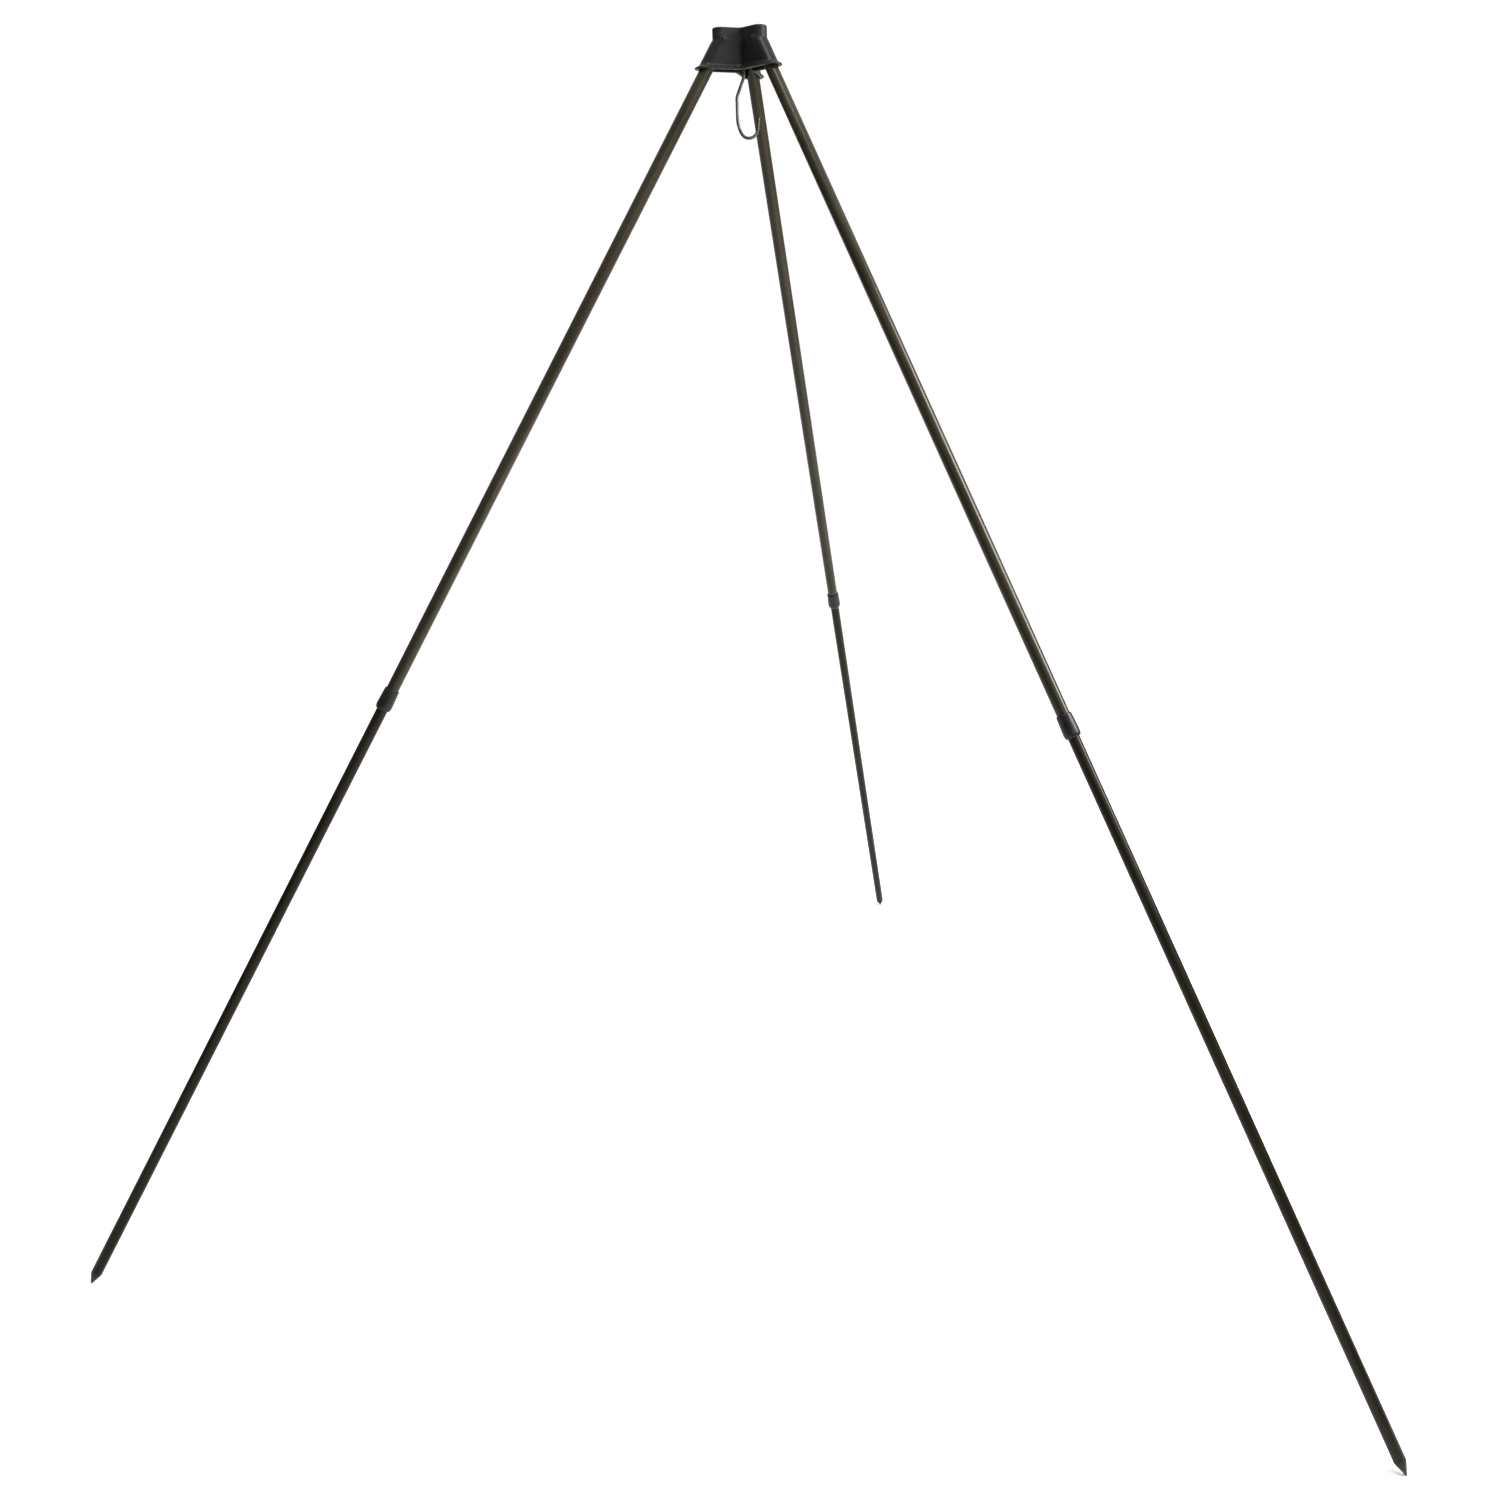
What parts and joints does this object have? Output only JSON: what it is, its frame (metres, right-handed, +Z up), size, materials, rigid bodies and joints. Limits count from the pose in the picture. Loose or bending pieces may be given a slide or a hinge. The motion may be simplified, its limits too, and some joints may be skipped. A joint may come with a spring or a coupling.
{
  "type": "campfire tripod",
  "caption": "Telescopic campfire tripod: a lobed head holds folding two-section legs with twist locks and ground spikes, and a swivelling pot hook hangs under it.",
  "frame": {"origin": "on the tripod's axis at ground level, under the head, with the spikes' ends on z = 0", "axes": "+Z up along the tripod's axis; one leg stands towards +Y (back), the other two towards 210 and 330 degrees (left and right); the hook opens towards +X"},
  "size_m": [2.2204, 1.926, 2.1762],
  "materials": {
    "head_coating": "satin black powder coat with a green-grey cast",
    "tube_paint": "dark olive satin coat on steel tube",
    "spike_coating": "dark coat, worn to grey steel at the point",
    "lock_plastic": "smooth black moulding with a soft sheen",
    "glide_plastic": "dark grey acetal",
    "hook_steel": "bright bent rod"
  },
  "bodies": {
    "head": {"head_shell": "head_coating", "pivot_pin_back": "head_coating", "pivot_pin_left": "head_coating", "pivot_pin_right": "head_coating"},
    "swivel": {"swivel_stud": "hook_steel", "swivel_washer": "glide_plastic", "swivel_nut": "hook_steel"},
    "hook": {"hook": "hook_steel"},
    "leg_back": {"upper_tube_back": "tube_paint", "pivot_sleeve_back": "hook_steel", "lock_ferrule_back": "lock_plastic", "lock_collet_back": "glide_plastic"},
    "lock_back": {"lock_collar_back": "lock_plastic"},
    "lower_leg_back": {"lower_tube_back": "tube_paint", "guide_bush_back": "glide_plastic", "foot_spike_back": "spike_coating"},
    "leg_left": {"upper_tube_left": "tube_paint", "pivot_sleeve_left": "hook_steel", "lock_ferrule_left": "lock_plastic", "lock_collet_left": "glide_plastic"},
    "lock_left": {"lock_collar_left": "lock_plastic"},
    "lower_leg_left": {"lower_tube_left": "tube_paint", "guide_bush_left": "glide_plastic", "foot_spike_left": "spike_coating"},
    "leg_right": {"upper_tube_right": "tube_paint", "pivot_sleeve_right": "hook_steel", "lock_ferrule_right": "lock_plastic", "lock_collet_right": "glide_plastic"},
    "lock_right": {"lock_collar_right": "lock_plastic"},
    "lower_leg_right": {"lower_tube_right": "tube_paint", "guide_bush_right": "glide_plastic", "foot_spike_right": "spike_coating"}
  },
  "joints": [
    {"name": "hook_swivel", "type": "hinge", "parent": "head", "child": "swivel", "pos_m": [0, 0, 2.14896], "axis": [0, 0, 1], "range_deg": [-180, 180]},
    {"name": "hook_swing", "type": "hinge", "parent": "swivel", "child": "hook", "pos_m": [0, 0, 2.12696], "axis": [0, 1, 0], "range_deg": [-30, 30]},
    {"name": "leg_fold_back", "type": "hinge", "parent": "head", "child": "leg_back", "pos_m": [0, 0.038, 2.15314], "axis": [-1, 0, 0], "range_deg": [0, 30]},
    {"name": "lock_twist_back", "type": "hinge", "parent": "leg_back", "child": "lock_back", "pos_m": [0, 0.6875, 1.02817], "axis": [0, 0.5, -0.866], "range_deg": [0, 120]},
    {"name": "leg_slide_back", "type": "slide", "parent": "leg_back", "child": "lower_leg_back", "axis": [0, -0.5, 0.866], "range_m": [0, 1.12]},
    {"name": "leg_fold_left", "type": "hinge", "parent": "head", "child": "leg_left", "pos_m": [-0.03291, -0.019, 2.15314], "axis": [0.5, -0.866, 0], "range_deg": [0, 30]},
    {"name": "lock_twist_left", "type": "hinge", "parent": "leg_left", "child": "lock_left", "pos_m": [-0.59539, -0.34375, 1.02817], "axis": [-0.433, -0.25, -0.866], "range_deg": [0, 120]},
    {"name": "leg_slide_left", "type": "slide", "parent": "leg_left", "child": "lower_leg_left", "axis": [0.433, 0.25, 0.866], "range_m": [0, 1.12]},
    {"name": "leg_fold_right", "type": "hinge", "parent": "head", "child": "leg_right", "pos_m": [0.03291, -0.019, 2.15314], "axis": [0.5, 0.866, 0], "range_deg": [0, 30]},
    {"name": "lock_twist_right", "type": "hinge", "parent": "leg_right", "child": "lock_right", "pos_m": [0.59539, -0.34375, 1.02817], "axis": [0.433, -0.25, -0.866], "range_deg": [0, 120]},
    {"name": "leg_slide_right", "type": "slide", "parent": "leg_right", "child": "lower_leg_right", "axis": [-0.433, 0.25, 0.866], "range_m": [0, 1.12]}
  ]
}
